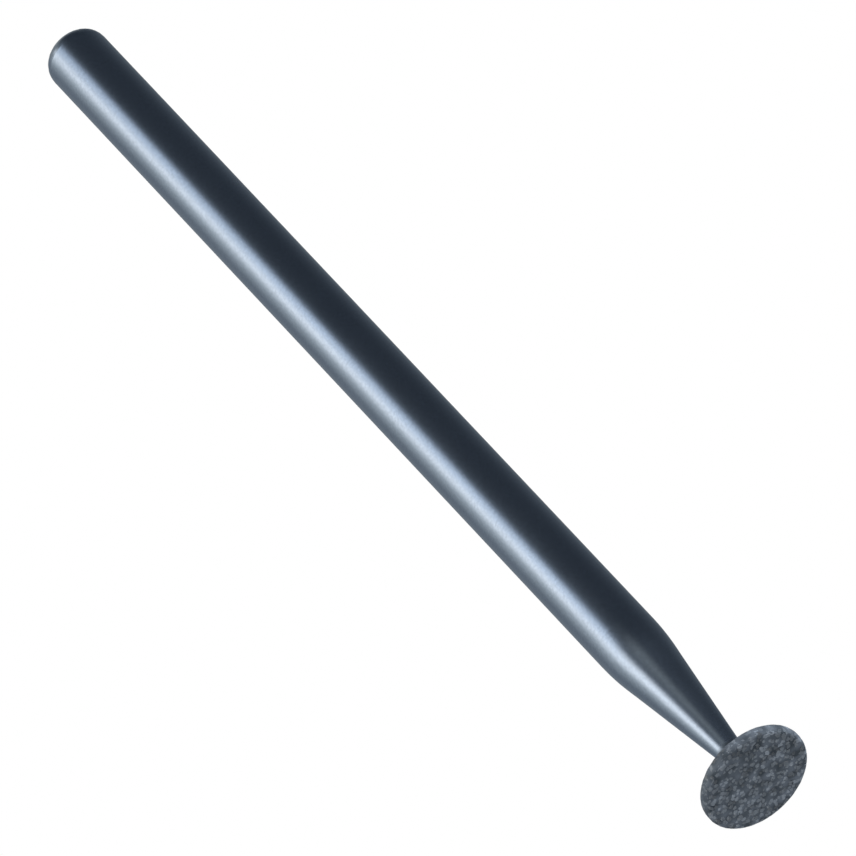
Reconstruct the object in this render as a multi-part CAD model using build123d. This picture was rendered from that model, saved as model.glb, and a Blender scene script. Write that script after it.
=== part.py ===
from build123d import *
import os

# Diamond dresser: a rotary dressing point that trues small grinding stones and rubber polishers.
# One turned and ground steel blank ends in a thin disc, and nickel-bonded diamond grit covers
# the disc on both faces and round its rim.
# Millimetres. The axis of rotation is Z. The part stands on its head: the front face of the grit
# is at z = 0, and the shank rises to its tail end at the top.

# Disc at the end of the neck, part of the steel blank
CORE_DIAMETER = 3.76
CORE_THICKNESS = 0.24
CORE_RIM_RADIUS = 0.05

# Diamond grit in its nickel bond, an even layer all over the disc
GRIT_THICKNESS = 0.12

# Neck behind the disc, and the taper from it to the shank
NECK_DIAMETER = 0.90
NECK_LENGTH = 1.20
NECK_FILLET_RADIUS = 0.15
TAPER_LENGTH = 5.74
SHOULDER_BLEND_RADIUS = 11.0

# Shank, which the collet of a handpiece grips
SHANK_DIAMETER = 2.35
OVERALL_LENGTH = 44.5
TAIL_EDGE_RADIUS = 0.60

# Radii that follow from the sizes above
core_radius = CORE_DIAMETER / 2
neck_radius = NECK_DIAMETER / 2
shank_radius = SHANK_DIAMETER / 2
grit_radius = core_radius + GRIT_THICKNESS
grit_rim_radius = CORE_RIM_RADIUS + GRIT_THICKNESS
grit_bore_radius = neck_radius + NECK_FILLET_RADIUS

# Heights along the axis, from the front of the head up
core_front = GRIT_THICKNESS
core_back = core_front + CORE_THICKNESS
grit_back = core_back + GRIT_THICKNESS
neck_end = core_back + NECK_LENGTH
shoulder = neck_end + TAPER_LENGTH


def turned(start, *corners, end):
    """Solid turned about Z. Its section starts and ends on the axis, at the heights start and end,
    and between them goes round the corners, each a (radius, height, corner rounding)."""
    points = [(0, start)] + [(radius, height) for radius, height, _ in corners] + [(0, end)]
    with BuildPart() as part:
        with BuildSketch(Plane.XZ):
            with BuildLine():
                FilletPolyline(*points, radius=[rounding for _, _, rounding in corners])
                Line((0, end), (0, start))
            make_face()
        revolve(axis=Axis.Z)
    return part.part


def make_steel_blank():
    """Disc, neck, a taper that blends into the shank, and the shank with its rounded tail edge."""
    return turned(
        core_front,
        (core_radius, core_front, CORE_RIM_RADIUS),
        (core_radius, core_back, CORE_RIM_RADIUS),
        (neck_radius, core_back, NECK_FILLET_RADIUS),
        (neck_radius, neck_end, 0),
        (shank_radius, shoulder, SHOULDER_BLEND_RADIUS),
        (shank_radius, OVERALL_LENGTH, TAIL_EDGE_RADIUS),
        end=OVERALL_LENGTH,
    )


def make_diamond_grit(blank):
    """Layer that follows the disc at one thickness, with a bore behind it for the neck's fillet."""
    head = turned(
        0,
        (grit_radius, 0, grit_rim_radius),
        (grit_radius, grit_back, grit_rim_radius),
        end=grit_back,
    )
    bore = Pos(0, 0, core_back) * Cylinder(
        grit_bore_radius, GRIT_THICKNESS, align=(Align.CENTER, Align.CENTER, Align.MIN)
    )
    return head - bore - blank


steel_blank = make_steel_blank()
diamond_grit = make_diamond_grit(steel_blank)

os.makedirs("parts", exist_ok=True)
export_step(steel_blank, "parts/steel_blank.step")
export_step(diamond_grit, "parts/diamond_grit.step")
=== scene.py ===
import itertools
import math

import bpy
import numpy as np
from mathutils import Matrix, Vector


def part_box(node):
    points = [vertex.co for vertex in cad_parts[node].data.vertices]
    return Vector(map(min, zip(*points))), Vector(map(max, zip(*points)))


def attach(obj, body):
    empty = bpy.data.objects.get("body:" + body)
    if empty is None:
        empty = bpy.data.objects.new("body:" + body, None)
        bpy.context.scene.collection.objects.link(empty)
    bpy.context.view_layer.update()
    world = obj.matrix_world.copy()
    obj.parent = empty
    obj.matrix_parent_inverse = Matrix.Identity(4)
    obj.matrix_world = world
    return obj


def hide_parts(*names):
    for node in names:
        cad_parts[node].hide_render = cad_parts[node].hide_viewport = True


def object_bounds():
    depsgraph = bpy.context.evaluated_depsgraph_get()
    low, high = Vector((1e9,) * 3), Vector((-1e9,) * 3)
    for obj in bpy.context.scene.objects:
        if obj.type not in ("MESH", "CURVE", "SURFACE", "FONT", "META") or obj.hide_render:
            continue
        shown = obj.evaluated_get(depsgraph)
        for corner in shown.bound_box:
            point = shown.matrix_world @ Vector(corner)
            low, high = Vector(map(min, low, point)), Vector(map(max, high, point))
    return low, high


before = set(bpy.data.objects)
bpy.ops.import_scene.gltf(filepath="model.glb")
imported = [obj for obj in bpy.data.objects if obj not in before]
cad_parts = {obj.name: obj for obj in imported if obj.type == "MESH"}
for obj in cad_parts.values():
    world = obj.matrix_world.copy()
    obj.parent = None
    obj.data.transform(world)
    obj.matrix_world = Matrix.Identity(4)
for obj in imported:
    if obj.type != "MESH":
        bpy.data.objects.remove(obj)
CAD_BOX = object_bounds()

# Diamond dresser: a ground steel blank whose disc is covered in diamond crystals held in nickel.
# Metres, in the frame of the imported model. The axis of rotation is Z, and the front of the head
# rests on the floor at z = 0.

bl_info = {
    "name": "Diamond Dresser",
    "version": (1, 0, 0),
    "blender": (4, 5, 0),
    "location": "View3D > Sidebar > Dresser",
    "description": "Finishes a rotary diamond dresser and lights it in a small studio",
    "category": "Object",
}

MM = 0.001
BODY = "root"
GOLDEN_ANGLE = math.pi * (3 - math.sqrt(5))
WHITE = "#FFFFFF"

# Sizes that the frame gives
BLANK_LOW, BLANK_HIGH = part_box("steel_blank")
GRIT_LOW, GRIT_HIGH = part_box("diamond_grit")
TAIL = Vector((0, 0, BLANK_HIGH.z))
HEAD_RADIUS = GRIT_HIGH.x
HEAD_THICKNESS = GRIT_HIGH.z
LAYER = BLANK_LOW.z - GRIT_LOW.z

# Crystals: how far each is shaken off its place and how far it reaches, as shares of their size
CRYSTAL_SHAKE = 0.25
CRYSTAL_REACH = 0.62

# Crystals: the least and the most of their scale, of their stretch and of their cut corners
CRYSTAL_SCALE = (0.7, 1.2)
CRYSTAL_STRETCH = (0.75, 1.2)
CRYSTAL_CUT = (0.22, 0.48)

# Crystals: how far their tips stay under the head's surface, and how often they are pressed back
TIP_CLEARANCE = 0.006 * MM
PRESS_ROUNDS = 3

# Crystals: in how many steps the head's area is added up, and the slack in comparing corners
AREA_STEPS = 2000
CORNER_SLACK = 1e-6

# Nickel: columns round the axis, and rows of the outer skin and of the inner wall
COLUMNS = 320
SKIN_ROWS = 150
WALL_ROWS = 60

# Nickel: its shortest and longest waves, as shares of a crystal and of a patch, how much calmer
# they are on the rim, and how many grains of its fine grain lie across a crystal
RIPPLE_SPAN = (0.8, 1.6)
PATCH_SPAN = (0.6, 1.4)
RIM_CALM = 0.6
GRAINS_PER_CRYSTAL = 4

# Lean of the outward normal at which the rim begins, and how much further it is all rim
RIM_START = 0.15
RIM_RANGE = 0.45

# Studio: the radius of the light tent, the gap between its cards, the floor and the sensor
TENT_RADIUS = 0.5
CARD_GAP = 0.015
FLOOR_HALF = 0.3
FLOOR_DROP = 0.002 * MM
FLOOR_FADE = (0.03, 0.12)
SENSOR_WIDTH = 36

# Nodes: the values between which nearly all of a noise lies, and the numbers of the Mix node's
# sockets, which go by the same names for numbers and for colours
NOISE_SPAN = {"From Min": 0.3, "From Max": 0.7}
FIRST_NUMBER, SECOND_NUMBER, MIXED_NUMBER = 2, 3, 0
FIRST_COLOUR, SECOND_COLOUR, MIXED_COLOUR = 6, 7, 2


def linear(hex_colour):
    """Linear red, green and blue of an sRGB hex colour such as #96A0AF."""
    parts = [int(hex_colour[i:i + 2], 16) / 255 for i in (1, 3, 5)]
    return tuple(c / 12.92 if c <= 0.04045 else ((c + 0.055) / 1.055) ** 2.4 for c in parts)


def length(name, default_mm, description):
    """A length property whose default is given in millimetres."""
    return bpy.props.FloatProperty(
        name=name,
        default=default_mm * MM,
        description=description,
        subtype="DISTANCE",
        unit="LENGTH",
    )


def angle(name, default_degrees, description):
    """An angle property whose default is given in degrees."""
    return bpy.props.FloatProperty(
        name=name,
        default=math.radians(default_degrees),
        description=description,
        subtype="ANGLE",
        unit="ROTATION",
    )


def share(name, default, description):
    """A property from 0 to 1."""
    return bpy.props.FloatProperty(
        name=name,
        default=default,
        min=0.0,
        max=1.0,
        subtype="FACTOR",
        description=description,
    )


def level(name, default, description):
    """A plain number property, never below 0."""
    return bpy.props.FloatProperty(name=name, default=default, min=0.0, description=description)


def colour(name, hex_colour, description):
    """A colour property whose default is an sRGB hex colour."""
    return bpy.props.FloatVectorProperty(
        name=name,
        default=linear(hex_colour),
        size=3,
        min=0.0,
        max=1.0,
        subtype="COLOR",
        description=description,
    )


class SteelFinish(bpy.types.PropertyGroup):
    """Finish of the ground steel blank"""

    tint: colour("Steel", "#96A0AF", "Colour of the bare ground steel")
    roughness: share("Roughness", 0.255, "Roughness that the grinding wheel leaves")
    roughness_spread: share("Roughness spread", 0.02, "How far the roughness drifts")
    drift_size: length("Drift size", 4.0, "Distance over which the roughness drifts")
    grain_size: length("Grain size", 0.085, "Size of the grain along the axis")
    grain_stretch: level("Grain stretch", 1.3, "How many times longer the grain is round the axis")
    grain_contrast: share("Grain contrast", 0.07, "How far the grain changes the steel's colour")
    grain_depth: length("Grain depth", 0.0008, "Depth of the grain")
    # The next four settings paint shade onto the steel next to the head, where the neck meets it: a
    # darker colour there, with a higher roughness.
    stain_and_shade: colour("Painted neck shade", "#747C86", "Colour of the dull steel next to the head")
    neck_shade_roughness: share("Neck shade roughness", 0.42, "Roughness of the dull steel")
    neck_shade_end: length("Neck shade end", 1.80, "Height above the front face where the dull steel ends")
    neck_shade_fade: length("Neck shade fade", 0.18, "Distance over which the dull steel fades out")


class GritFinish(bpy.types.PropertyGroup):
    """Crystals and nickel bond of the head"""

    crystal_size: length("Crystal size", 0.23, "Mean distance across a diamond crystal")
    crystal_count: bpy.props.IntProperty(
        name="Crystals", default=860, min=10, max=4000, description="Number of crystals on the head"
    )
    crystal_roughness: share("Crystal roughness", 0.5, "Roughness of the worn crystals")
    crystal_ior: level("Crystal IOR", 2.0, "Index of refraction of the crystals")
    wear: length("Worn tips", 0.045, "Most that is worn flat off the tip of a crystal")
    rim_wear: length("Worn rim", 0.045, "How much more is worn off the crystals round the rim")
    patch_size: length("Patch size", 0.5, "Distance between paler patches of the grit")
    bond_depth: length("Bond depth", 0.030, "How far the nickel lies below the crystals' tips")
    rim_depth: length("Rim bond depth", 0.008, "How far it lies below them round the rim")
    bond_ripple: length("Bond ripple", 0.008, "Height of the lumps in the nickel")
    bond_pitting: length("Bond pitting", 0.003, "Depth of the fine grain in the nickel")
    bond_metallic: share("Bond metallic", 0.4, "How metallic the nickel with its dust looks")
    bond_roughness: share("Bond roughness", 0.55, "Roughness of the nickel")
    rim_radius: length("Rim rounding", 0.17, "Rounding of the head's two edges")
    bore_radius: length("Bore radius", 0.60, "Radius of the bare ring round the neck")
    dark: colour("Dark crystal", "#30373F", "Colour of the darkest crystals")
    pale: colour("Pale crystal", "#727C88", "Colour of the palest crystals")
    bond: colour("Nickel bond", "#69727E", "Colour of the clean nickel between the crystals")
    stain_and_shade: colour("Stained nickel", "#394149", "Colour of the stained nickel")
    mean_tone: share("Mean tone", 0.46, "Mean tone of the grit between dark and pale")
    patch_contrast: share("Patch contrast", 0.21, "How far the patches differ in tone")
    crystal_contrast: share("Crystal contrast", 0.12, "How far the crystals differ in tone")
    seed: bpy.props.IntProperty(name="Seed", default=7, description="Start of the random draws")


class StudioSettings(bpy.types.PropertyGroup):
    """Camera, floor and light"""

    lens: bpy.props.FloatProperty(
        name="Lens", default=562.65, unit="CAMERA", description="Focal length on a 36 mm sensor"
    )
    elevation: angle("Camera elevation", -40.4, "Angle of the camera above the horizon")
    roll: angle("Camera roll", 43.235, "Turn of the camera about its line of sight")
    distance: length("Camera distance", 466.05, "Distance of the tail along the line of sight")
    tail_left: length("Tail left", 12.440, "How far left of the line of sight the tail lies")
    tail_up: length("Tail up", 13.154, "How far above the line of sight the tail lies")
    floor: colour("Floor", "#F4F4F4", "Colour of the floor")
    daylight: level("Daylight", 0.45, "Level of the even light from all sides")
    front_lamp: level("Front lamp", 0.45, "Level of the soft lamp before the head")
    top_lamp: level("Top lamp", 0.55, "Level of the soft lamp above the tool")
    rim_lamp: level("Rim lamp", 2.0, "Level of the lamp that picks out the head's rim")
    front_fill: level("Front fill", 0.25, "Strength of the pale card before the head")
    surround: colour("Dark surround", "#424950", "Colour of the dark cloth that the steel reflects")
    key: colour("Key light", "#FFFDF6", "Colour of the tall softbox and of the two side softboxes")
    key_strength: level("Key strength", 2.45, "Strength of the tall softbox")
    core: colour("Key core", "#EAF5FF", "Colour of the softbox's core and of the low strip")
    core_strength: level("Core strength", 2.24, "Strength of the core")
    wash: colour("Wash", "#F8FFFC", "Colour of the wash, the taper's patch and the glow overhead")
    wash_strength: level("Wash strength", 0.89, "Strength of the wash of light")
    back: colour("Back wall", "#E6F4FF", "Colour of the wall behind and of the pale cards below")
    back_strength: level("Back wall strength", 0.335, "Strength of the wall behind")
    strip_strength: level("Strip strength", 0.61, "Strength of the low strip")
    patch_strength: level("Patch strength", 0.42, "Strength of the patch that streaks the taper")
    overhead_strength: level("Overhead glow", 0.45, "Strength of the pale light above the tail")
    glow_strength: level("Floor glow", 0.34, "Strength of the pale light from the floor")
    side_strength: level("Side light", 2.2, "Strength of the two side softboxes")


def add(tree, kind, inputs=None, **settings):
    """Adds a node, sets its own settings, and sets or links its inputs by name or number."""
    node = tree.nodes.new(kind)
    for name, value in settings.items():
        setattr(node, name, value)
    for name, value in (inputs or {}).items():
        if isinstance(value, bpy.types.NodeSocket):
            tree.links.new(value, node.inputs[name])
        else:
            node.inputs[name].default_value = value
    return node


def empty_material(name):
    """A material with an empty node tree, and its output node."""
    material = bpy.data.materials.new(name)
    material.use_nodes = True
    material.node_tree.nodes.clear()
    return material, material.node_tree, add(material.node_tree, "ShaderNodeOutputMaterial")


def opaque(rgb):
    """A colour with full alpha."""
    return (*rgb, 1.0)


def ground_steel(finish):
    """Hardened steel, centreless ground to a satin. The grinding gives the eye one long soft
    highlight with a fine grain in it, a little longer round the axis than along it. The grain is
    drawn about ten times as coarse as the real one, so that it shows. Close to the head the steel
    is duller and painted darker, as painted shade where the neck meets the head."""
    material, tree, output = empty_material("ground_steel")
    place = add(tree, "ShaderNodeTexCoord").outputs["Object"]
    along = 1 / finish.grain_size
    across = along / finish.grain_stretch
    scale = (across, across, along)
    grain_place = add(tree, "ShaderNodeMapping", {"Vector": place, "Scale": scale})
    grain = add(
        tree,
        "ShaderNodeTexNoise",
        {"Vector": grain_place.outputs[0], "Scale": 1.0, "Detail": 2.0, "Roughness": 0.6},
    )
    drift = add(
        tree,
        "ShaderNodeTexNoise",
        {"Vector": place, "Scale": 1 / finish.drift_size, "Detail": 3.0},
    )
    roughness = add(
        tree,
        "ShaderNodeMapRange",
        {
            **NOISE_SPAN,
            "Value": drift.outputs["Fac"],
            "To Min": finish.roughness - finish.roughness_spread,
            "To Max": finish.roughness + finish.roughness_spread,
        },
    )
    shade = add(
        tree,
        "ShaderNodeMapRange",
        {
            **NOISE_SPAN,
            "Value": grain.outputs["Fac"],
            "To Min": 1 - finish.grain_contrast,
            "To Max": 1 + finish.grain_contrast,
        },
    )
    steel = add(
        tree,
        "ShaderNodeVectorMath",
        {0: tuple(finish.tint), "Scale": shade.outputs[0]},
        operation="SCALE",
    )
    # Painted shade: close to the head the steel's colour is mixed towards a darker one and its
    # roughness is raised, as shade where the neck meets the head.
    height = add(tree, "ShaderNodeSeparateXYZ", {0: place})
    neck_shade = add(
        tree,
        "ShaderNodeMapRange",
        {
            "Value": height.outputs["Z"],
            "From Min": finish.neck_shade_end,
            "From Max": finish.neck_shade_end - finish.neck_shade_fade,
        },
        interpolation_type="SMOOTHSTEP",
    )
    tint = add(
        tree,
        "ShaderNodeMix",
        {
            "Factor": neck_shade.outputs[0],
            FIRST_COLOUR: steel.outputs[0],
            SECOND_COLOUR: opaque(finish.stain_and_shade),
        },
        data_type="RGBA",
    )
    satin = add(
        tree,
        "ShaderNodeMix",
        {
            "Factor": neck_shade.outputs[0],
            FIRST_NUMBER: roughness.outputs[0],
            SECOND_NUMBER: finish.neck_shade_roughness,
        },
    )
    bump = add(
        tree,
        "ShaderNodeBump",
        {"Strength": 1.0, "Distance": finish.grain_depth, "Height": grain.outputs["Fac"]},
    )
    shader = add(
        tree,
        "ShaderNodeBsdfPrincipled",
        {
            "Base Color": tint.outputs[MIXED_COLOUR],
            "Metallic": 1.0,
            "Roughness": satin.outputs[MIXED_NUMBER],
            "Normal": bump.outputs[0],
        },
    )
    tree.links.new(shader.outputs[0], output.inputs["Surface"])
    return material


def toned(tree, dark, pale):
    """A colour between two, by the tone of the piece's own attribute."""
    tone = add(tree, "ShaderNodeAttribute", attribute_name="tone")
    mix = add(
        tree,
        "ShaderNodeMix",
        {
            "Factor": tone.outputs["Fac"],
            FIRST_COLOUR: opaque(dark),
            SECOND_COLOUR: opaque(pale),
        },
        data_type="RGBA",
    )
    return mix.outputs[MIXED_COLOUR]


def diamond_crystal(finish):
    """Synthetic diamond grit, blocky and grey: dull worn tips and a few glints on small flat
    facets. Each crystal has its own tone. The crystals are drawn larger than real grit, so that
    they show."""
    material, tree, output = empty_material("diamond_crystal")
    shader = add(
        tree,
        "ShaderNodeBsdfPrincipled",
        {
            "Base Color": toned(tree, finish.dark, finish.pale),
            "Roughness": finish.crystal_roughness,
            "IOR": finish.crystal_ior,
        },
    )
    tree.links.new(shader.outputs[0], output.inputs["Surface"])
    return material


def nickel_bond(finish):
    """Electroplated nickel with diamond dust in it, dull and grey between the crystals, and stained
    in the same patches as they are. Its grain is drawn a quarter of a crystal across, coarser than
    the real one, so that it shows."""
    material, tree, output = empty_material("nickel_bond")
    place = add(tree, "ShaderNodeTexCoord").outputs["Object"]
    grain = add(
        tree,
        "ShaderNodeTexNoise",
        {"Vector": place, "Scale": GRAINS_PER_CRYSTAL / finish.crystal_size, "Detail": 3.0},
    )
    bump = add(
        tree,
        "ShaderNodeBump",
        {"Strength": 0.6, "Distance": finish.bond_pitting, "Height": grain.outputs["Fac"]},
    )
    shader = add(
        tree,
        "ShaderNodeBsdfPrincipled",
        {
            "Base Color": toned(tree, finish.stain_and_shade, finish.bond),
            "Metallic": finish.bond_metallic,
            "Roughness": finish.bond_roughness,
            "Normal": bump.outputs[0],
        },
    )
    tree.links.new(shader.outputs[0], output.inputs["Surface"])
    return material


def new_piece(name, vertices, faces, material, smooth):
    """A mesh object at the origin, with its place in its mesh."""
    mesh = bpy.data.meshes.new(name)
    mesh.from_pydata(np.asarray(vertices, float), [], faces)
    mesh.polygons.foreach_set("use_smooth", np.full(len(mesh.polygons), smooth))
    mesh.materials.append(material)
    mesh.update()
    piece = bpy.data.objects.new(name, mesh)
    bpy.context.scene.collection.objects.link(piece)
    return piece


def head_outline(along, inset, rim_radius):
    """Outline of the head at a depth below its surface: from the centre of the front, out to the
    rim, round it and back in. along is the distance along the outline, and the result is the
    radius, the height and the outward normal there. Two straight faces and a straight band join
    two quarter circles."""
    corner = rim_radius - inset
    flat = HEAD_RADIUS - rim_radius
    band = HEAD_THICKNESS - 2 * rim_radius
    arc = corner * math.pi / 2
    ends = np.cumsum([flat, arc, band, arc])
    turn_low = np.clip((along - ends[0]) / corner, 0, math.pi / 2)
    turn_high = np.clip((along - ends[2]) / corner, 0, math.pi / 2)
    turn = turn_low + turn_high - math.pi / 2
    normal_r, normal_z = np.cos(turn), np.sin(turn)
    straight_out = np.minimum(along, flat)
    straight_in = np.maximum(along - ends[3], 0)
    straight_up = np.clip(along - ends[1], 0, band)
    radius = straight_out - straight_in + corner * normal_r
    height = rim_radius + straight_up + corner * normal_z
    return radius, height, normal_r, normal_z


def outline_length(inset, rim_radius, inner_radius):
    """Length of the head's outline at a depth, from the centre of the front to a radius behind."""
    corner = rim_radius - inset
    flat = HEAD_RADIUS - rim_radius
    band = HEAD_THICKNESS - 2 * rim_radius
    return flat + math.pi * corner + band + flat - inner_radius


def random_waves(size, span, draws, count=64):
    """Plane waves with random directions and phases. Their wavelengths are shares of a size,
    between the two ends of the span."""
    heading = draws.normal(size=(count, 3))
    heading /= np.linalg.norm(heading, axis=1, keepdims=True)
    wavelength = draws.uniform(span[0] * size, span[1] * size, (count, 1))
    return heading * 2 * math.pi / wavelength, draws.uniform(0, 2 * math.pi, count)


def lumps(points, waves):
    """Smooth random height at each point, from -2 to 2 or so: the scaled sum of plane waves."""
    steps, phase = waves
    return np.cos(points @ steps.T + phase).sum(axis=-1) * math.sqrt(2 / len(phase))


def set_tone(piece, tones):
    """Gives each vertex its tone, from 0 for dark to 1 for pale."""
    tone = piece.data.attributes.new("tone", "FLOAT", "POINT")
    tone.data.foreach_set("value", np.clip(tones, 0, 1).astype(np.float32))


def revolved(radius, height, around):
    """Points of a profile turned about Z, as an array of columns by profile rows by x, y, z."""
    turn = np.arange(around) * 2 * math.pi / around
    ring = np.stack([np.cos(turn), np.sin(turn)], axis=1)
    flat = ring[:, None, :] * radius[None, :, None]
    tall = np.broadcast_to(height[None, :, None], flat.shape[:2] + (1,))
    return np.concatenate([flat, tall], axis=2)


def closed_turning(grid, first_pole, last_pole):
    """Vertices and faces of a closed turned solid whose profile starts and ends on the axis."""
    around, rows = grid.shape[:2]
    vertices = np.concatenate([grid.reshape(-1, 3), [first_pole, last_pole]])
    column = np.arange(around) * rows
    following = np.roll(column, -1)
    step = np.arange(rows - 1)
    near = column[:, None] + step
    far = following[:, None] + step
    quads = np.stack([near, far, far + 1, near + 1], axis=-1).reshape(-1, 4)
    first = np.full(around, around * rows)
    first_fan = np.stack([following, column, first], axis=1)
    last_fan = np.stack([column + rows - 1, following + rows - 1, first + 1], axis=1)
    return vertices, quads.tolist() + first_fan.tolist() + last_fan.tolist()


def rim_share(normal_r):
    """0 on the head's flat faces and 1 round its rim: a smooth step of the normal's lean."""
    step = np.clip((normal_r - RIM_START) / RIM_RANGE, 0, 1)
    return step * step * (3 - 2 * step)


def make_bond(finish, patches, draws):
    """The nickel layer: a lumpy outer skin, the wall of the bore behind, and an inner wall that
    lies on the steel disc. The profile runs along the outer outline and comes back along the
    inner one."""
    outer_length = outline_length(finish.bond_depth, finish.rim_radius, finish.bore_radius)
    inner_length = outline_length(LAYER, finish.rim_radius, finish.bore_radius)
    outer = np.linspace(0, outer_length, SKIN_ROWS)[1:]
    inner = np.linspace(inner_length, 0, WALL_ROWS)[:-1]
    radius, height, normal_r, normal_z = head_outline(outer, finish.bond_depth, finish.rim_radius)
    inner_radius, inner_height = head_outline(inner, LAYER, finish.rim_radius)[:2]
    skin = revolved(radius, height, COLUMNS)
    outward = revolved(normal_r, normal_z, COLUMNS)
    ripple = lumps(skin, random_waves(finish.crystal_size, RIPPLE_SPAN, draws))
    rim = rim_share(normal_r)
    swell = rim * (finish.bond_depth - finish.rim_depth)
    height_of_ripple = finish.bond_ripple * (1 - RIM_CALM * rim)
    skin += outward * (swell + height_of_ripple * ripple)[..., None]
    wall = revolved(inner_radius, inner_height, COLUMNS)
    grid = np.concatenate([skin, wall], axis=1)
    poles = [(0, 0, finish.bond_depth), (0, 0, LAYER)]
    vertices, faces = closed_turning(grid, *poles)
    piece = new_piece("nickel_bond", vertices, faces, nickel_bond(finish), True)
    set_tone(piece, finish.mean_tone + finish.patch_contrast * lumps(vertices, patches))
    return piece


def blocky_crystal():
    """Orders and signs of the 24 corners of an octahedron with cut corners, and its 14 faces.
    Each corner has one coordinate 0, one cut and one 1 - cut, in every order and sign. A face holds
    the corners that reach furthest along its normal, in turn about it."""
    orders = np.array(list(itertools.permutations(range(3))))
    signs = np.array(list(itertools.product((-1.0, 1.0), repeat=2)))
    order = orders.repeat(len(signs), axis=0)
    cut_sign, rest_sign = np.tile(signs, (len(orders), 1)).T[..., None]
    sign = np.choose(order, [0.0, cut_sign, rest_sign])
    regular = sign * np.choose(order, [0.0, 1 / 3, 2 / 3])
    axes = [np.eye(3)[i] * s for i in range(3) for s in (-1, 1)]
    octants = [np.array(signs, float) for signs in itertools.product((-1, 1), repeat=3)]
    faces = []
    for normal in axes + octants:
        reach = regular @ normal
        members = np.flatnonzero(reach > reach.max() - CORNER_SLACK)
        side = np.cross(normal, regular[members[0]])
        front = np.cross(side, normal)
        across = regular[members] @ side / np.linalg.norm(side)
        ahead = regular[members] @ front / np.linalg.norm(front)
        faces.append(members[np.argsort(np.arctan2(across, ahead))])
    return order, sign, faces


def random_turns(count, draws):
    """Random rotation matrices, from unit quaternions with random parts."""
    q = draws.normal(size=(count, 4))
    w, x, y, z = (q / np.linalg.norm(q, axis=1, keepdims=True)).T
    rows = [
        [1 - 2 * (y * y + z * z), 2 * (x * y - w * z), 2 * (x * z + w * y)],
        [2 * (x * y + w * z), 1 - 2 * (x * x + z * z), 2 * (y * z - w * x)],
        [2 * (x * z - w * y), 2 * (y * z + w * x), 1 - 2 * (x * x + y * y)],
    ]
    return np.array(rows).transpose(2, 0, 1)


def depth_outside(points, rim_radius):
    """Distance of points outside the head's rounded disc, which is below zero inside it: how far
    they lie outside a disc that is smaller all round by the rim's rounding, less that rounding."""
    radial = np.hypot(points[..., 0], points[..., 1]) - (HEAD_RADIUS - rim_radius)
    axial = np.abs(points[..., 2] - HEAD_THICKNESS / 2) - (HEAD_THICKNESS / 2 - rim_radius)
    outside = np.hypot(np.maximum(radial, 0), np.maximum(axial, 0))
    return outside + np.minimum(np.maximum(radial, axial), 0) - rim_radius


def spiral_places(finish, draws):
    """Places of the crystals on the head's surface, the outward normal at each, and how far it is
    on the rim. They follow a golden-angle spiral that gives each the same area, shaken a little."""
    count = finish.crystal_count
    end = outline_length(0, finish.rim_radius, finish.bore_radius)
    table = np.linspace(0, end, AREA_STEPS)
    area = np.cumsum(head_outline(table, 0, finish.rim_radius)[0])
    order = np.arange(count) + 0.5
    along = np.interp(order / count * area[-1], area, table)
    shake = CRYSTAL_SHAKE * finish.crystal_size
    along = np.clip(along + draws.normal(0, shake, count), 0, end)
    radius, height, normal_r, normal_z = head_outline(along, 0, finish.rim_radius)
    turn = draws.normal(0, shake, count) / np.maximum(radius, finish.crystal_size)
    turn += order * GOLDEN_ANGLE
    around = np.stack([np.cos(turn), np.sin(turn)], axis=1)
    outward = np.column_stack([around * normal_r[:, None], normal_z])
    place = np.column_stack([around * radius[:, None], height])
    return place, outward, rim_share(normal_r)


def crystal_shapes(finish, order, sign, draws):
    """Corners of each crystal about its middle: a blocky octahedron with its own cut, stretch, size
    and turn."""
    count = finish.crystal_count
    cut = draws.uniform(*CRYSTAL_CUT, count)
    sizes = np.stack([np.zeros(count), cut, 1 - cut], axis=1)
    shape = sign[None] * sizes[:, order]
    shape *= draws.uniform(*CRYSTAL_STRETCH, (count, 1, 3))
    scale = finish.crystal_size * CRYSTAL_REACH * draws.uniform(*CRYSTAL_SCALE, count)
    shape *= scale[:, None, None]
    return shape @ random_turns(count, draws)


def make_crystals(finish, patches, draws):
    """Diamond crystals set all over the head. The furthest corner of each is drawn in to the head's
    surface, less what is worn off it, and what still stands out is pressed back just under that
    surface, as a flat worn tip."""
    count = finish.crystal_count
    place, outward, rim = spiral_places(finish, draws)
    order, sign, faces = blocky_crystal()
    corners = place[:, None, :] + crystal_shapes(finish, order, sign, draws)
    push = depth_outside(corners, finish.rim_radius).max(axis=1)
    push -= finish.wear * draws.uniform(0, 1, count)
    push -= finish.rim_wear * rim
    corners -= outward[:, None, :] * push[:, None, None]
    for _ in range(PRESS_ROUNDS):
        proud = np.maximum(depth_outside(corners, finish.rim_radius) + TIP_CLEARANCE, 0)
        corners -= outward[:, None, :] * proud[..., None]

    per = len(sign)
    starts = np.arange(count) * per
    all_faces = [(start + face).tolist() for start in starts for face in faces]
    vertices = corners.reshape(-1, 3)
    piece = new_piece("diamond_crystals", vertices, all_faces, diamond_crystal(finish), False)
    tones = finish.mean_tone + finish.patch_contrast * lumps(place, patches)
    tones += finish.crystal_contrast * draws.normal(size=count)
    set_tone(piece, np.repeat(tones, per))
    return piece


def direction(azimuth, elevation):
    """Unit vector from the part towards a place. Azimuth 0 is the -Y side and 90 degrees is +X."""
    azimuth, elevation = np.broadcast_arrays(azimuth, elevation)
    flat = np.cos(elevation)
    return np.stack([np.sin(azimuth) * flat, -np.cos(azimuth) * flat, np.sin(elevation)], axis=-1)


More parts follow.
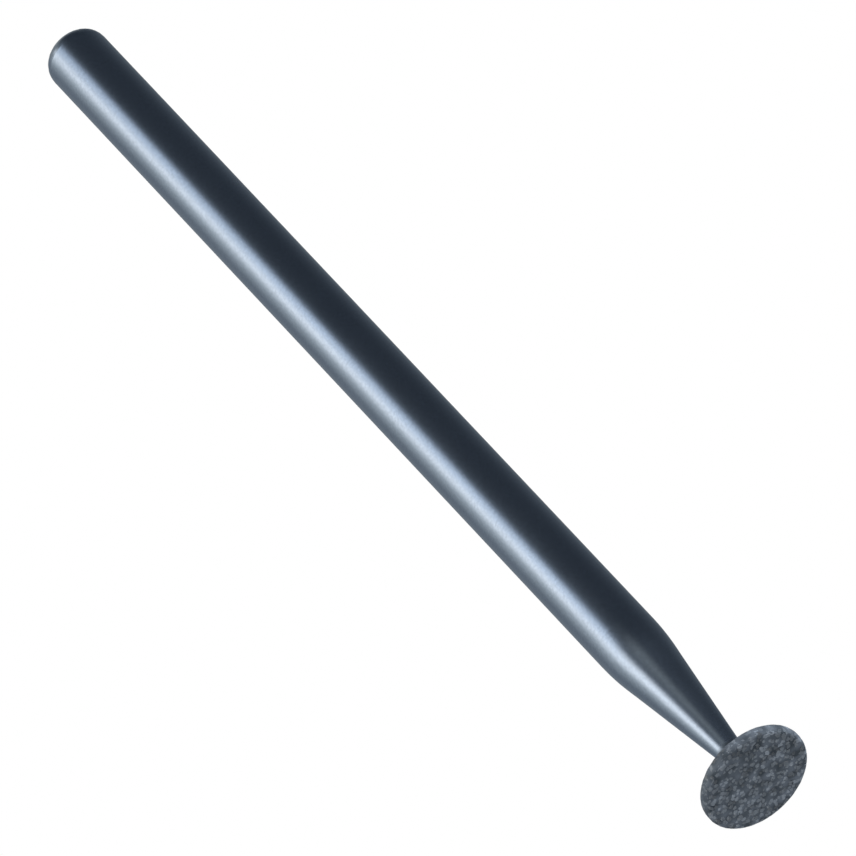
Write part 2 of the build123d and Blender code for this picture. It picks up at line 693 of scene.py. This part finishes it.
def light_card(name, azimuth, elevation, width, height, reach, material, lean=0.0):
    """A curved card of a light tent, which only metal and gloss show: a patch of a sphere about
    the middle of the part. Its two parameters are azimuth and elevation, in degrees, and its UV map
    runs from 0 to 1 along them. lean is how many degrees of azimuth it gains with each degree of
    elevation."""
    across, up = 49, 25
    u, v = np.meshgrid(np.linspace(0, 1, across), np.linspace(0, 1, up), indexing="ij")
    azimuths = np.radians(azimuth + (u - 0.5) * width + lean * (v - 0.5) * height)
    elevations = np.radians(elevation + (v - 0.5) * height)
    middle = np.array((CAD_BOX[0] + CAD_BOX[1]) / 2)
    vertices = (middle + reach * direction(azimuths, elevations)).reshape(-1, 3)
    i, j = np.meshgrid(np.arange(across - 1), np.arange(up - 1), indexing="ij")
    corner = (i * up + j).reshape(-1)
    faces = np.stack([corner, corner + 1, corner + up + 1, corner + up], axis=1)
    card = new_piece(name, vertices, faces.tolist(), material, True)
    layer = card.data.uv_layers.new(name="UVMap")
    corners = np.zeros(len(card.data.loops), int)
    card.data.loops.foreach_get("vertex_index", corners)
    flat_uv = np.stack([u.reshape(-1), v.reshape(-1)], axis=1)[corners]
    layer.data.foreach_set("uv", flat_uv.reshape(-1).astype(np.float32))
    card.visible_camera = False
    card.visible_diffuse = False
    card.visible_shadow = False
    card.visible_transmission = False


def softbox(name, rgb, strength, fade_across, fade_up):
    """Diffuser cloth over a lamp: brightest in the middle, and fading towards its edges. The fade
    is a smooth step of the distance from each edge, as a share of the card, in its own UV map."""
    material, tree, output = empty_material(name)
    uv = add(tree, "ShaderNodeTexCoord").outputs["UV"]
    parts = add(tree, "ShaderNodeSeparateXYZ", {0: uv})
    masks = []
    for side, fade in (("X", fade_across), ("Y", fade_up)):
        centred = add(
            tree, "ShaderNodeMath", {0: parts.outputs[side], 1: 0.5}, operation="SUBTRACT"
        )
        out = add(tree, "ShaderNodeMath", {0: centred.outputs[0]}, operation="ABSOLUTE")
        mask = add(
            tree,
            "ShaderNodeMapRange",
            {"Value": out.outputs[0], "From Min": 0.5, "From Max": 0.5 - fade},
            interpolation_type="SMOOTHSTEP",
        )
        masks.append(mask.outputs[0])
    both = add(tree, "ShaderNodeMath", {0: masks[0], 1: masks[1]}, operation="MULTIPLY")
    glow = add(tree, "ShaderNodeEmission", {"Color": opaque(rgb), "Strength": strength})
    clear = add(tree, "ShaderNodeBsdfTransparent")
    mix = add(
        tree,
        "ShaderNodeMixShader",
        {0: both.outputs[0], 1: clear.outputs[0], 2: glow.outputs[0]},
    )
    tree.links.new(mix.outputs[0], output.inputs["Surface"])
    return material


def dark_cloth(settings):
    """Dark cloth round the studio, which the steel shows as a deep blue grey."""
    material, tree, output = empty_material("dark_cloth")
    glow = add(tree, "ShaderNodeEmission", {"Color": opaque(settings.surround), "Strength": 1.0})
    tree.links.new(glow.outputs[0], output.inputs["Surface"])
    return material


def make_light(settings):
    """The light tent: dark cloth all round, a pale wall behind, a wash of light on the left, a tall
    softbox with a cooler leaning core in it, a low strip all round, a small patch that streaks the
    taper, and a pale card before the head. A glow overhead, a glow from the floor and two softboxes
    below the horizon light the sides that the camera doesn't see. Each later card stands a little
    nearer to the part. Metal and gloss show the cards, and the three lamps light what is matt."""
    cards = (
        dict(name="back_wall", rgb=settings.back, strength=settings.back_strength,
             azimuth=-133, elevation=0, width=320, height=176, fade_across=0.5, fade_up=0.1),
        dict(name="left_wash", rgb=settings.wash, strength=settings.wash_strength,
             azimuth=-67, elevation=35, width=98, height=110, fade_across=0.5, fade_up=0.5),
        dict(name="key_softbox", rgb=settings.key, strength=settings.key_strength,
             azimuth=-51, elevation=0, width=58, height=160, fade_across=0.5, fade_up=0.3),
        dict(name="key_core", rgb=settings.core, strength=settings.core_strength, lean=1.4,
             azimuth=-32, elevation=40, width=40, height=38, fade_across=0.5, fade_up=0.5),
        dict(name="low_strip", rgb=settings.core, strength=settings.strip_strength,
             azimuth=34, elevation=13.5, width=325, height=12.5, fade_across=0.5, fade_up=0.5),
        dict(name="taper_patch", rgb=settings.wash, strength=settings.patch_strength,
             azimuth=4.5, elevation=19, width=60, height=21, fade_across=0.5, fade_up=0.25),
        dict(name="front_fill", rgb=settings.back, strength=settings.front_fill,
             azimuth=180, elevation=-58, width=360, height=64, fade_across=0.001, fade_up=0.35),
        dict(name="overhead_glow", rgb=settings.wash, strength=settings.overhead_strength,
             azimuth=-133, elevation=75, width=330, height=30, fade_across=0.5, fade_up=0.2),
        dict(name="floor_glow", rgb=settings.back, strength=settings.glow_strength,
             azimuth=180, elevation=-26, width=360, height=44, fade_across=0.001, fade_up=0.4),
        dict(name="right_softbox", rgb=settings.key, strength=settings.side_strength,
             azimuth=60, elevation=-28, width=34, height=48, fade_across=0.4, fade_up=0.4),
        dict(name="rear_softbox", rgb=settings.key, strength=settings.side_strength,
             azimuth=-130, elevation=-28, width=34, height=48, fade_across=0.4, fade_up=0.4),
    )
    light_card(
        "dark_surround",
        azimuth=0,
        elevation=0,
        width=360,
        height=180,
        reach=TENT_RADIUS,
        material=dark_cloth(settings),
    )
    for number, card in enumerate(cards, start=1):
        fades = card["fade_across"], card["fade_up"]
        light_card(
            card["name"],
            card["azimuth"],
            card["elevation"],
            card["width"],
            card["height"],
            TENT_RADIUS - number * CARD_GAP,
            softbox(card["name"], card["rgb"], card["strength"], *fades),
            card.get("lean", 0.0),
        )
    make_lamp("front_lamp", azimuth=0, elevation=-65, strength=settings.front_lamp, spread=60)
    make_lamp("top_lamp", azimuth=-46, elevation=62, strength=settings.top_lamp, spread=40)
    make_lamp("rim_lamp", azimuth=78, elevation=10, strength=settings.rim_lamp, spread=15)


def make_lamp(name, azimuth, elevation, strength, spread):
    """A soft lamp far away. At a strength of 1 a matt surface that faces it shows its own colour.
    Metal and gloss show the cards instead."""
    data = bpy.data.lights.new(name, "SUN")
    data.energy = math.pi * strength
    data.angle = math.radians(spread)
    lamp = bpy.data.objects.new(name, data)
    bpy.context.scene.collection.objects.link(lamp)
    towards = Vector(direction(math.radians(azimuth), math.radians(elevation)))
    lamp.matrix_world = towards.to_track_quat("Z", "Y").to_matrix().to_4x4()
    lamp.visible_glossy = False


def make_world(settings):
    """White behind the part and an even grey daylight on it."""
    world = bpy.data.worlds.new("studio_air")
    bpy.context.scene.world = world
    world.use_nodes = True
    tree = world.node_tree
    tree.nodes.clear()
    path = add(tree, "ShaderNodeLightPath").outputs
    seen = add(tree, "ShaderNodeMath", {0: path["Is Camera Ray"], 1: path["Is Glossy Ray"]})
    shown = add(tree, "ShaderNodeMath", {0: seen.outputs[0], 1: path["Is Transmission Ray"]})
    sky = opaque(linear(WHITE))
    white = add(tree, "ShaderNodeBackground", {"Color": sky, "Strength": 1.0})
    grey = add(tree, "ShaderNodeBackground", {"Color": sky, "Strength": settings.daylight})
    mix = add(
        tree,
        "ShaderNodeMixShader",
        {0: shown.outputs[0], 1: grey.outputs[0], 2: white.outputs[0]},
    )
    output = add(tree, "ShaderNodeOutputWorld")
    tree.links.new(mix.outputs[0], output.inputs["Surface"])


def floor_paint(settings):
    """Matt white paint that fades out away from the part, and that isn't there from below."""
    material, tree, output = empty_material("matt_floor")
    place = add(tree, "ShaderNodeTexCoord").outputs["Object"]
    away = add(tree, "ShaderNodeVectorMath", {0: place}, operation="LENGTH")
    fade = add(
        tree,
        "ShaderNodeMapRange",
        {"Value": away.outputs["Value"], "From Min": FLOOR_FADE[0], "From Max": FLOOR_FADE[1]},
        interpolation_type="SMOOTHSTEP",
    )
    side = add(tree, "ShaderNodeNewGeometry")
    gone = add(
        tree,
        "ShaderNodeMath",
        {0: fade.outputs[0], 1: side.outputs["Backfacing"]},
        operation="MAXIMUM",
    )
    paint = add(tree, "ShaderNodeBsdfDiffuse", {"Color": opaque(settings.floor)})
    clear = add(tree, "ShaderNodeBsdfTransparent")
    mix = add(
        tree,
        "ShaderNodeMixShader",
        {0: gone.outputs[0], 1: paint.outputs[0], 2: clear.outputs[0]},
    )
    tree.links.new(mix.outputs[0], output.inputs["Surface"])
    return material


def make_floor(settings):
    """A flat floor just under the head, seen from above only, which leaves the light from below."""
    half, low = FLOOR_HALF, -FLOOR_DROP
    vertices = [(-half, -half, low), (half, -half, low), (half, half, low), (-half, half, low)]
    floor = new_piece("floor", vertices, [(0, 1, 2, 3)], floor_paint(settings), False)
    floor.visible_diffuse = False
    floor.visible_glossy = False
    floor.visible_shadow = False
    floor.visible_transmission = False


def make_camera(settings):
    """The camera looks up at the front of the head. Its frame is turned about the line of sight,
    and the tail lies up and to the left of that line."""
    forward = Vector((0, math.cos(settings.elevation), -math.sin(settings.elevation)))
    level_right = Vector((1, 0, 0))
    level_up = level_right.cross(forward)
    right = math.cos(settings.roll) * level_right - math.sin(settings.roll) * level_up
    up = math.sin(settings.roll) * level_right + math.cos(settings.roll) * level_up
    data = bpy.data.cameras.new("camera")
    data.sensor_width = SENSOR_WIDTH
    data.lens = settings.lens
    camera = bpy.data.objects.new("camera", data)
    bpy.context.scene.collection.objects.link(camera)
    turn = Matrix((right, up, -forward)).transposed().to_4x4()
    place = TAIL + settings.tail_left * right - settings.tail_up * up - settings.distance * forward
    camera.matrix_world = Matrix.Translation(place) @ turn
    bpy.context.scene.camera = camera


class DRESSER_OT_steel_blank(bpy.types.Operator):
    """Give the shank, taper, neck and disc their ground steel"""

    bl_idname = "dresser.steel_blank"
    bl_label = "Finish Steel Blank"

    def execute(self, context):
        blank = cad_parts["steel_blank"]
        blank.data.materials.clear()
        blank.data.materials.append(ground_steel(context.scene.dresser_steel))
        return {"FINISHED"}


class DRESSER_OT_diamond_grit(bpy.types.Operator):
    """Cover the head in nickel and diamond crystals"""

    bl_idname = "dresser.diamond_grit"
    bl_label = "Lay Diamond Grit"

    def execute(self, context):
        finish = context.scene.dresser_grit
        draws = np.random.default_rng(finish.seed)
        patches = random_waves(finish.patch_size, PATCH_SPAN, draws)
        bond = make_bond(finish, patches, draws)
        crystals = make_crystals(finish, patches, draws)
        for piece in (bond, crystals):
            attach(piece, BODY)
            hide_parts("diamond_grit")
        return {"FINISHED"}


class DRESSER_OT_studio(bpy.types.Operator):
    """Set up the floor, the light and the camera"""

    bl_idname = "dresser.studio"
    bl_label = "Set Up Studio"

    def execute(self, context):
        settings = context.scene.dresser_studio
        make_floor(settings)
        make_light(settings)
        make_world(settings)
        make_camera(settings)
        context.scene.view_settings.view_transform = "Standard"
        return {"FINISHED"}


class DRESSER_PT_panel(bpy.types.Panel):
    """Sizes, colours and steps of the dresser"""

    bl_idname = "DRESSER_PT_panel"
    bl_label = "Diamond Dresser"
    bl_space_type = "VIEW_3D"
    bl_region_type = "UI"
    bl_category = "Dresser"

    def draw(self, context):
        for group, operator in GROUPS.items():
            box = self.layout.box()
            settings = getattr(context.scene, group)
            for name in settings.__annotations__:
                box.prop(settings, name)
            box.operator(operator)


GROUPS = {
    "dresser_steel": "dresser.steel_blank",
    "dresser_grit": "dresser.diamond_grit",
    "dresser_studio": "dresser.studio",
}
CLASSES = (
    SteelFinish,
    GritFinish,
    StudioSettings,
    DRESSER_OT_steel_blank,
    DRESSER_OT_diamond_grit,
    DRESSER_OT_studio,
    DRESSER_PT_panel,
)


def register():
    """Adds the classes and hangs the settings on the scene."""
    for cls in CLASSES:
        bpy.utils.register_class(cls)
    bpy.types.Scene.dresser_steel = bpy.props.PointerProperty(type=SteelFinish)
    bpy.types.Scene.dresser_grit = bpy.props.PointerProperty(type=GritFinish)
    bpy.types.Scene.dresser_studio = bpy.props.PointerProperty(type=StudioSettings)


def unregister():
    """Takes the settings and the classes away again."""
    for group in GROUPS:
        delattr(bpy.types.Scene, group)
    for cls in reversed(CLASSES):
        bpy.utils.unregister_class(cls)


def main():
    register()
    bpy.ops.dresser.steel_blank()
    bpy.ops.dresser.diamond_grit()
    bpy.ops.dresser.studio()


if __name__ == "__main__":
    main()
